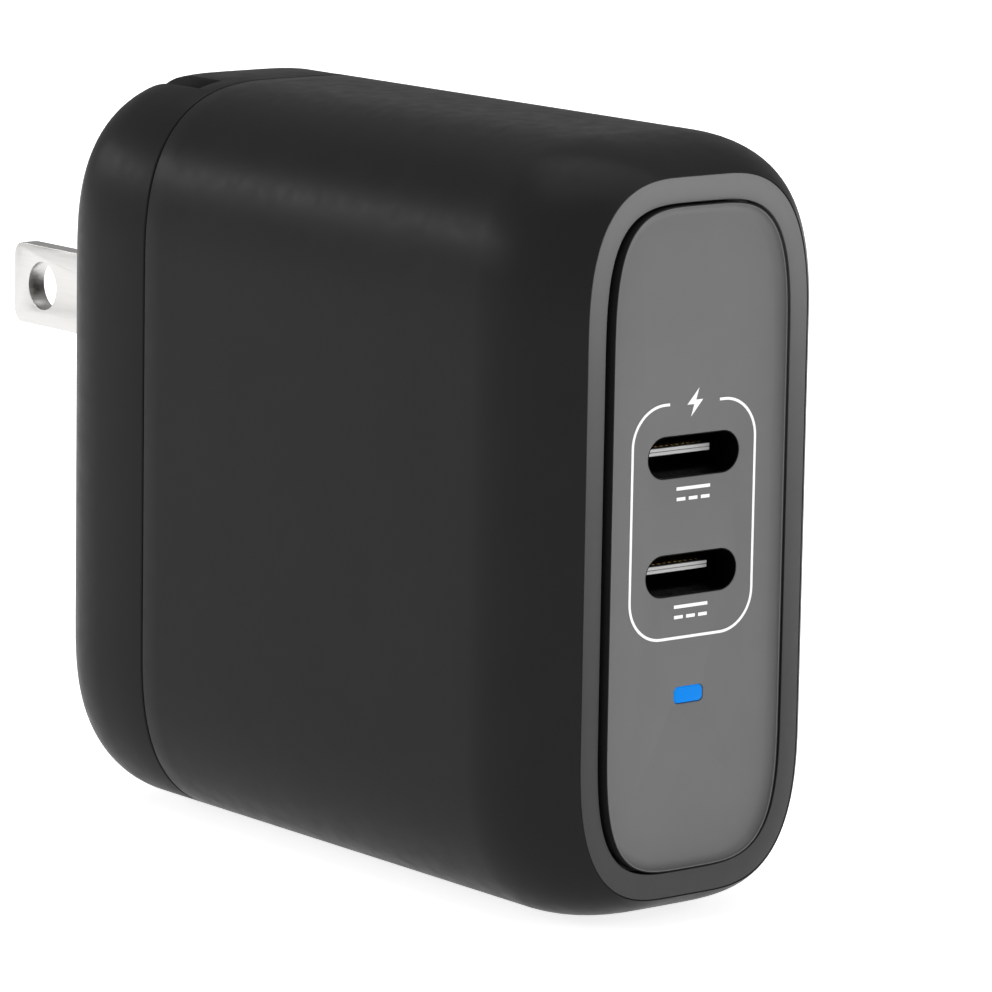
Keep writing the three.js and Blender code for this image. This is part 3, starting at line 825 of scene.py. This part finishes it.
class CHARGER_OT_lens(ChargerOperator, bpy.types.Operator):
    """Build the lit blue status lens"""

    bl_idname = "charger.lens"
    bl_label = "Status Lens"

    def execute(self, context):
        low, high = LENS
        centre, half = (low + high) / 2, (high - low) / 2
        corner = 0.35 * MM
        rings = []
        for inset, y in (
            (0.0, high.y), (0.0, low.y + 0.16 * MM), (0.05 * MM, low.y + 0.06 * MM),
            (0.16 * MM, low.y + 0.02 * MM),
        ):
            outline = rounded_rectangle(
                half.x - inset, half.z - inset, corner - inset * 0.5, (0, centre.z)
            )
            rings.append([Vector((x, y, z)) for x, z in outline])
        piece = smoothed(skin("lens_window", rings))
        dressed(piece, "case", "status_lens_blue", lit_lens(self.finishes), "status_lens")
        return {"FINISHED"}


class CHARGER_OT_ports(ChargerOperator, bpy.types.Operator):
    """Build both port shells and their tongues with contacts"""

    bl_idname = "charger.ports"
    bl_label = "Ports"

    def shell(self, level, low, high, material):
        z = (low.z + high.z) / 2
        width, height = high.x - low.x, high.z - low.z
        wall, play, lip = 0.3 * MM, 0.02 * MM, 0.12 * MM
        nose = PANEL[0].y + self.panel.floor + 0.04 * MM
        mouth = (self.panel.port_width - play, self.panel.port_height - play)
        throat = (mouth[0] - lip, mouth[1] - lip)
        inside = (width - 2 * wall, height - 2 * wall)
        rings = []
        for (across, up), y in (
            ((width, height), high.y), ((width, height), low.y), (mouth, low.y), (mouth, nose),
            (throat, nose), (throat, low.y + 0.1 * MM), (inside, low.y + 0.5 * MM),
            (inside, high.y),
        ):
            rings.append([Vector((x, y, w)) for x, w in stadium(across, up, z, 20)])
        piece = smoothed(skin(f"port_shell_{level}", rings, closed=True))
        dressed(piece, "case", "black_shell", material, f"usb_c_shell_{level}")

    def execute(self, context):
        # Painted shade: the port shells are steel but coloured black, so the inside of each port reads as shade.
        dark = metal("painted_shade_black_shell", (0.006, 0.006, 0.006), 0.5, (1, 0.2, 1), 0.1)
        nylon = moulded("port_nylon", (0.006, 0.006, 0.006), 0.6, spread=0.1, specular=0.2)
        edge = moulded("tongue_edge_grey", (0.6, 0.6, 0.6), 0.5, spread=0.05)
        gold = metal("contact_plating", (0.72, 0.48, 0.18), 0.3, (1, 0.2, 1), 0.05, 0.2)
        base_width, base_height, base_depth = 8.24 * MM, 2.56 * MM, 2.3 * MM
        half_tongue, half_thickness, plate = 3.35 * MM, 0.3 * MM, 0.11 * MM
        for level, (low, high) in SHELLS.items():
            self.shell(level, low, high, dark)
            z = (low.z + high.z) / 2
            front, rear = INSERTS[level][0].y, INSERTS[level][1].y
            base = prism(
                f"port_base_{level}", stadium(base_width, base_height, z, 20), rear - base_depth, rear
            )
            tongue = prism(
                "tool", rounded_rectangle(half_tongue, half_thickness, 0.08 * MM, (0, z), 3),
                front + 0.12 * MM, rear - 2 * MM,
            )
            boolean(base, tongue, "UNION")
            smoothed(base)
            dressed(base, "case", "port_insert", nylon, f"usb_c_insert_{level}")
            for side, sign in (("top", 1), ("bottom", -1)):
                blade = prism(
                    f"port_midplate_{level}_{side}",
                    rounded_rectangle(3.3 * MM, plate, 0.03 * MM, (0, z + sign * 0.135 * MM), 3),
                    front, front + plate,
                )
                dressed(blade, "case", "port_insert", edge)
            pads = [self.pad(level, side, i, z, front) for side in (1, -1) for i in range(12)]
            for pad in pads:
                dressed(pad, "case", "spring_bronze", gold)
        return {"FINISHED"}

    def pad(self, level, side, i, z, front):
        """One of the twelve contacts on a side of the tongue."""
        x = (i - 5.5) * 0.5 * MM
        centre = z + side * 0.31 * MM
        outline = rounded_rectangle(0.125 * MM, 0.02 * MM, 0.01 * MM, (x, centre), 1)
        name = f"port_contact_{level}_{'top' if side > 0 else 'bottom'}_{i + 1}"
        return prism(name, outline, front + 0.5 * MM, front + 3.4 * MM)


class CHARGER_OT_prongs(ChargerOperator, bpy.types.Operator):
    """Build the pair of plated prongs with softened edges"""

    bl_idname = "charger.prongs"
    bl_label = "Prongs"

    def outline(self):
        """The blade from the side, in Y and Z, with a tail that crosses the carrier."""
        y, z = PIVOT.y, PIVOT.z
        low, high = PRONGS["left"]
        tip, corner = high.y, 1.1 * MM
        points = [
            (y - 0.2 * MM, high.z), (y - 2 * MM, z + 2.4 * MM), (y - 2 * MM, z + 1 * MM),
            (y - 4.6 * MM, z + 0.8 * MM), (y - 4.6 * MM, z - 0.8 * MM), (y - 2 * MM, z - 1 * MM),
            (y - 1.6 * MM, low.z),
        ]
        for t in arc(-math.pi / 2, 0, 8):
            points.append((tip - corner + corner * math.cos(t), low.z + corner + corner * math.sin(t)))
        for t in arc(0, math.pi / 2, 8):
            points.append((tip - corner + corner * math.cos(t), high.z - corner + corner * math.sin(t)))
        return points

    def execute(self, context):
        plug = self.plug
        nickel = metal(
            "satin_nickel", tuple(self.finishes.nickel), 0.34, (1, 0.05, 1), 0.05, 0.25, 0.003
        )
        for side, (low, high) in PRONGS.items():
            piece = prism(f"blade_{side}", self.outline(), low.x, high.x, "x")
            centre = (high.y - plug.hole_from_tip, PIVOT.z + plug.blade_rise)
            reach = 1 * MM
            boolean(piece, prism("tool", circle(plug.hole, centre), low.x - reach, high.x + reach, "x"))
            core = rounded_rectangle(1.1 * MM, 1.1 * MM, 0.2 * MM, (PIVOT.y, PIVOT.z), 2)
            boolean(piece, prism("tool", core, low.x - reach, high.x + reach, "x"))
            bevelled(piece, 0.16 * MM, 3, 35)
            smoothed(piece)
            dressed(piece, "plug", "nickel", nickel, f"prong_{side}")
        return {"FINISHED"}


class CHARGER_OT_carrier(ChargerOperator, bpy.types.Operator):
    """Build the turning carrier that holds the prongs, and its pin"""

    bl_idname = "charger.carrier"
    bl_label = "Prong Carrier"

    def execute(self, context):
        radius = (CARRIER[1].z - CARRIER[0].z) / 2
        half, edge = CARRIER[1].x, 0.2 * MM
        centre = (0, PIVOT.y, PIVOT.z)
        profile = [(0, -half), (radius - edge, -half), (radius, -half + edge)]
        for low, high in PRONGS.values():
            left, right = low.x - 0.1 * MM, high.x + 0.1 * MM
            core = 1.35 * MM
            profile += [(radius, left), (core, left), (core, right), (radius, right)]
        profile += [(radius, half - edge), (radius - edge, half), (0, half)]
        piece = turned("carrier_barrel", profile, centre)
        for angle in (180, 270):
            t = math.radians(angle)
            spot = (PIVOT.y + 2.4 * MM * math.cos(t), PIVOT.z + 2.4 * MM * math.sin(t))
            boolean(piece, prism("tool", circle(0.7 * MM, spot, 24), -1.4 * MM, 1.4 * MM, "x"))
        boolean(piece, prism(
            "tool", circle(0.62 * MM, (PIVOT.y, PIVOT.z), 40), -half - 1 * MM, half + 1 * MM, "x"
        ))
        smoothed(piece)
        nylon = moulded("black_carrier_nylon", (0.012, 0.012, 0.013), 0.5, specular=0.3)
        dressed(piece, "plug", "black_nylon", nylon, "prong_carrier")
        pin_half, pin = PIN[1].x, (PIN[1].z - PIN[0].z) / 2
        pin_profile = [
            (0, -pin_half), (pin - 0.12 * MM, -pin_half), (pin, -pin_half + 0.12 * MM),
            (pin, pin_half - 0.12 * MM), (pin - 0.12 * MM, pin_half), (0, pin_half),
        ]
        rod = smoothed(turned("carrier_pin", pin_profile, centre, steps=32))
        steel = metal("pin_steel", (0.6, 0.6, 0.61), 0.25, (0.05, 1, 1))
        dressed(rod, "case", "nickel", steel, "pivot_pin")
        return {"FINISHED"}


INSIDE_FINISHES = {
    "black_nylon": lambda: moulded("inside_nylon", (0.014, 0.014, 0.015), 0.5),
    "spring_bronze": lambda: metal("rolled_bronze", (0.55, 0.31, 0.1), 0.3),
    "adhesive": lambda: moulded("foam_adhesive", (0.008, 0.008, 0.008), 0.85, 0.2, 0.03, 0.3),
    "lead_red": lambda: moulded("red_sleeve", (0.36, 0.015, 0.012), 0.42),
    "lead_white": lambda: moulded("white_sleeve", (0.68, 0.68, 0.64), 0.42),
    "board_green": lambda: moulded("solder_mask", (0.012, 0.11, 0.042), 0.3, 0.5, 0.01, 0.25),
    "led_body": lambda: moulded("lamp_resin", (0.78, 0.72, 0.42), 0.25),
    "ferrite": lambda: moulded("sintered_ferrite", (0.035, 0.036, 0.042), 0.6, 0.2, 0.03, 0.2),
    "copper_wire": lambda: metal("wound_copper", (0.62, 0.2, 0.06), 0.32, (1, 0.1, 1), 0.25, 0.4, 0.05),
    "yellow_tape": lambda: moulded("yellow_film_tape", (0.68, 0.45, 0.03), 0.32, 0.4, 0.01, 0.08),
    "capacitor_sleeve": lambda: moulded("shrink_sleeve", (0.024, 0.022, 0.05), 0.28, 0.6, 0.01),
    "capacitor_blue": lambda: moulded("dipped_blue", (0.024, 0.11, 0.43), 0.3, 0.5, 0.03),
    "film_capacitor_yellow": lambda: moulded("boxed_film", (0.58, 0.36, 0.042), 0.45),
    "epoxy_black": lambda: moulded("moulded_epoxy", (0.01, 0.01, 0.011), 0.55, 0.08, 0.01, 0.2),
    "fuse_ceramic": lambda: moulded("fuse_body", (0.68, 0.65, 0.54), 0.4, 0.3, 0.01, 0.08),
    "aluminium": lambda: metal("rolled_aluminium", (0.72, 0.73, 0.75), 0.35),
    "thermal_pad": lambda: moulded("silicone_pad", (0.27, 0.35, 0.43), 0.8, 0.3, 0.04, 0.1),
    "insulation_film": lambda: moulded("insulation_film_black", (0.013, 0.013, 0.017), 0.3, 0.8),
}


class CHARGER_OT_inside(ChargerOperator, bpy.types.Operator):
    """Finish the boards, springs and components inside the case"""

    bl_idname = "charger.inside"
    bl_label = "Inside Parts"

    def execute(self, context):
        slots = {entry["node"]: entry["material_slot"] for entry in frame["record"]["subparts"]}
        made = {}
        for name, node in frame["nodes"].items():
            if node.hide_render:
                continue
            slot = slots[name]
            if slot not in made:
                made[slot] = INSIDE_FINISHES[slot]()
            node.data.materials.clear()
            node.data.materials.append(made[slot])
        return {"FINISHED"}


class CHARGER_OT_stage(ChargerOperator, bpy.types.Operator):
    """Lay the pale floor, hang the soft lights and place the camera"""

    bl_idname = "charger.stage"
    bl_label = "Studio"

    def floor(self):
        """A wide flat floor just under the object."""
        base = HOUSING[0].z - 0.05 * MM
        half_width, half_depth = 2.4, 1.6
        mesh = bpy.data.meshes.new("studio_floor")
        work = bmesh.new()
        rows = []
        for along in (-half_depth, 0.0, half_depth):
            rows.append([work.verts.new((side * half_width, along, base)) for side in (-1, 1)])
        for low, high in zip(rows, rows[1:]):
            work.faces.new((low[0], low[1], high[1], high[0]))
        work.to_mesh(mesh)
        work.free()
        floor = linked("studio_floor", mesh)
        floor.rotation_euler = Euler((0, 0, -bpy.context.scene.charger_stage.azimuth))
        smoothed(floor)
        paper = Nodes("pale_paper")
        paper.tint((0.86, 0.86, 0.86), 0.01, paper.noise(40 * MM))
        paper.set(
            Roughness=0.9, Specular_IOR_Level=0.1, Emission_Color=(1, 1, 1, 1), Emission_Strength=0.8
        )
        floor.data.materials.append(paper.material)

    def softbox(self, name, place, aim, size, power):
        """A soft light of a size in metres that faces a point."""
        lamp = bpy.data.lights.new(name, "AREA")
        lamp.shape = "RECTANGLE"
        lamp.size, lamp.size_y = size
        lamp.energy = power
        item = bpy.data.objects.new(name, lamp)
        item.location = place
        item.rotation_mode = "QUATERNION"
        item.rotation_quaternion = (Vector(aim) - Vector(place)).to_track_quat("-Z", "Y")
        bpy.context.scene.collection.objects.link(item)

    def camera(self, stage):
        heading, tilt, roll = stage.azimuth, stage.elevation, stage.roll
        view = Vector((
            math.sin(heading) * math.cos(tilt), math.cos(heading) * math.cos(tilt), -math.sin(tilt)
        ))
        right = view.cross(Vector((0, 0, 1))).normalized()
        up = right.cross(view)
        turn = Matrix.Rotation(roll, 3, -view)
        right, up = turn @ right, turn @ up
        middle = Vector((0, (PANEL[0].y + COVER[1].y) / 2, 0))
        place = middle - view * stage.distance + right * stage.aim_across - up * stage.aim_up
        lens = bpy.data.cameras.new("camera")
        lens.lens = stage.lens
        lens.sensor_width = 36
        lens.clip_start, lens.clip_end = 0.01, 20
        camera = bpy.data.objects.new("camera", lens)
        camera.matrix_world = Matrix.Translation(place) @ Matrix(
            (right, up, -view)
        ).transposed().to_4x4()
        bpy.context.scene.collection.objects.link(camera)
        bpy.context.scene.camera = camera

    def execute(self, context):
        scene = context.scene
        self.camera(scene.charger_stage)
        self.floor()
        middle = (0, -0.03, 0)
        self.softbox("top_softbox", (-0.05, 0.05, 0.9), middle, (0.9, 0.9), 7.4)
        self.softbox("front_softbox", (0.45, -0.85, 0.25), middle, (0.7, 0.7), 3.6)
        self.softbox("left_softbox", (-0.95, -0.1, 0.35), middle, (0.6, 0.6), 0.4)
        self.softbox("shoulder_strip", (-0.62, 0.62, 0.26), middle, (0.9, 0.07), 3.1)
        world = bpy.data.worlds.new("studio_air")
        world.use_nodes = True
        world.node_tree.nodes["Background"].inputs["Color"].default_value = (1, 1, 1, 1)
        world.node_tree.nodes["Background"].inputs["Strength"].default_value = 0.34
        scene.world = world
        scene.view_settings.view_transform = "Standard"
        return {"FINISHED"}


# ---------------------------------------------------------------- panel and registration

STEPS = (
    CHARGER_OT_stage,
    CHARGER_OT_housing,
    CHARGER_OT_rear_cover,
    CHARGER_OT_bezel,
    CHARGER_OT_panel,
    CHARGER_OT_legend,
    CHARGER_OT_lens,
    CHARGER_OT_ports,
    CHARGER_OT_prongs,
    CHARGER_OT_carrier,
    CHARGER_OT_inside,
)
SETTINGS = {
    "charger_case": ChargerCaseSettings,
    "charger_panel": ChargerPanelSettings,
    "charger_plug": ChargerPlugSettings,
    "charger_finishes": ChargerFinishSettings,
    "charger_stage": ChargerStageSettings,
}


class CHARGER_PT_builder(bpy.types.Panel):
    """Buttons for each piece of the charger"""

    bl_label = "Wall Charger"
    bl_idname = "CHARGER_PT_builder"
    bl_space_type = "VIEW_3D"
    bl_region_type = "UI"
    bl_category = "Charger"

    def draw(self, context):
        for step in STEPS:
            self.layout.operator(step.bl_idname)


def register():
    for settings in SETTINGS.values():
        bpy.utils.register_class(settings)
    for name, settings in SETTINGS.items():
        setattr(bpy.types.Scene, name, PointerProperty(type=settings))
    for step in STEPS:
        bpy.utils.register_class(step)
    bpy.utils.register_class(CHARGER_PT_builder)


def unregister():
    bpy.utils.unregister_class(CHARGER_PT_builder)
    for step in reversed(STEPS):
        bpy.utils.unregister_class(step)
    for name in SETTINGS:
        delattr(bpy.types.Scene, name)
    for settings in reversed(SETTINGS.values()):
        bpy.utils.unregister_class(settings)


def main():
    register()
    for step in STEPS:
        group, name = step.bl_idname.split(".")
        getattr(getattr(bpy.ops, group), name)()
    bpy.context.view_layer.update()


if __name__ == "__main__":
    main()
